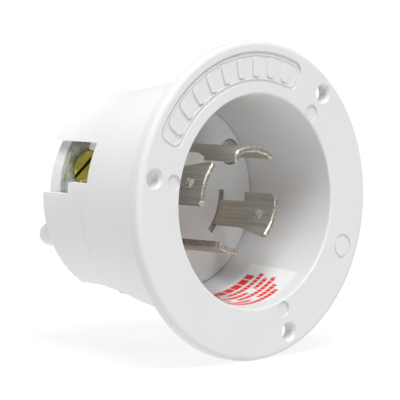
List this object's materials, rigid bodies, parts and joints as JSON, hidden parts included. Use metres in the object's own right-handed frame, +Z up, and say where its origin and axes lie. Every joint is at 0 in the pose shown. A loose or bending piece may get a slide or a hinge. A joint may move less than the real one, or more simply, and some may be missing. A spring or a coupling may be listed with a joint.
{
  "type": "flanged power inlet",
  "caption": "Round panel-mount power inlet with recessed curved locking blades, a screw-down flange and a rear skirt with side windows onto the terminal screws.",
  "frame": {"origin": "centre of the flange's flat back face, on the axis of the recess", "axes": "-Y out of the open front, +Y towards the wiring side, +Z up with the ground blade near the top"},
  "size_m": [0.0826, 0.0594, 0.0826],
  "materials": {
    "nylon_flange": "satin moulded white nylon",
    "nylon_shell": "satin moulded white nylon",
    "nylon_cap": "satin moulded white nylon",
    "clear_polycarbonate": "clear moulded plastic with a faint green tint",
    "nickel_blade": "nickel-plated brass, dull, with bright sheared edges",
    "brass_screw": "turned brass",
    "silver_screw": "nickel-plated",
    "green_screw": "green-dyed steel",
    "clamp_steel": "zinc-plated steel",
    "nut_brass": "plain brass",
    "zinc_screw": "zinc-plated steel",
    "label_print": "pale film label with plain red bars"
  },
  "bodies": {
    "housing": {"flange_housing": "nylon_flange", "body_shell": "nylon_shell", "terminal_module": "clear_polycarbonate", "rear_cap": "nylon_cap", "blade_hot_x": "nickel_blade", "blade_hot_y": "nickel_blade", "blade_neutral": "nickel_blade", "blade_ground": "nickel_blade", "nut_hot_x": "nut_brass", "nut_hot_y": "nut_brass", "nut_neutral": "nut_brass", "nut_ground": "nut_brass", "module_screws": "zinc_screw", "caution_label": "label_print"},
    "clamp_hot_x_group": {"clamp_hot_x": "clamp_steel"},
    "screw_hot_x_group": {"screw_hot_x": "brass_screw"},
    "clamp_neutral_group": {"clamp_neutral": "clamp_steel"},
    "screw_neutral_group": {"screw_neutral": "silver_screw"},
    "clamp_hot_y_group": {"clamp_hot_y": "clamp_steel"},
    "screw_hot_y_group": {"screw_hot_y": "brass_screw"},
    "clamp_ground_group": {"clamp_ground": "clamp_steel"},
    "screw_ground_group": {"screw_ground": "green_screw"}
  },
  "joints": [
    {"name": "clamp_hot_x_slide", "type": "slide", "parent": "housing", "child": "clamp_hot_x_group", "axis": [-0.9367, 0, 0.3502], "range_m": [-0.0006, 0.0022]},
    {"name": "screw_hot_x_turn", "type": "hinge", "parent": "clamp_hot_x_group", "child": "screw_hot_x_group", "pos_m": [-0.02136, 0.0387, 0.00798], "axis": [-0.9367, 0, 0.3502], "range_deg": [-275, 1000]},
    {"name": "clamp_neutral_slide", "type": "slide", "parent": "housing", "child": "clamp_neutral_group", "axis": [-0.3502, 0, -0.9367], "range_m": [-0.0006, 0.0022]},
    {"name": "screw_neutral_turn", "type": "hinge", "parent": "clamp_neutral_group", "child": "screw_neutral_group", "pos_m": [-0.00798, 0.0387, -0.02136], "axis": [-0.3502, 0, -0.9367], "range_deg": [-275, 1000]},
    {"name": "clamp_hot_y_slide", "type": "slide", "parent": "housing", "child": "clamp_hot_y_group", "axis": [0.9367, 0, -0.3502], "range_m": [-0.0006, 0.0022]},
    {"name": "screw_hot_y_turn", "type": "hinge", "parent": "clamp_hot_y_group", "child": "screw_hot_y_group", "pos_m": [0.02136, 0.0387, -0.00798], "axis": [0.9367, 0, -0.3502], "range_deg": [-275, 1000]},
    {"name": "clamp_ground_slide", "type": "slide", "parent": "housing", "child": "clamp_ground_group", "axis": [0.3502, 0, 0.9367], "range_m": [-0.0006, 0.0022]},
    {"name": "screw_ground_turn", "type": "hinge", "parent": "clamp_ground_group", "child": "screw_ground_group", "pos_m": [0.00798, 0.0387, 0.02136], "axis": [0.3502, 0, 0.9367], "range_deg": [-275, 1000]}
  ],
  "couplings": [
    {"joint": "screw_hot_x_turn", "follows": "clamp_hot_x_slide", "rad_per_m": 7915.8},
    {"joint": "screw_neutral_turn", "follows": "clamp_neutral_slide", "rad_per_m": 7915.8},
    {"joint": "screw_hot_y_turn", "follows": "clamp_hot_y_slide", "rad_per_m": 7915.8},
    {"joint": "screw_ground_turn", "follows": "clamp_ground_slide", "rad_per_m": 7915.8}
  ]
}
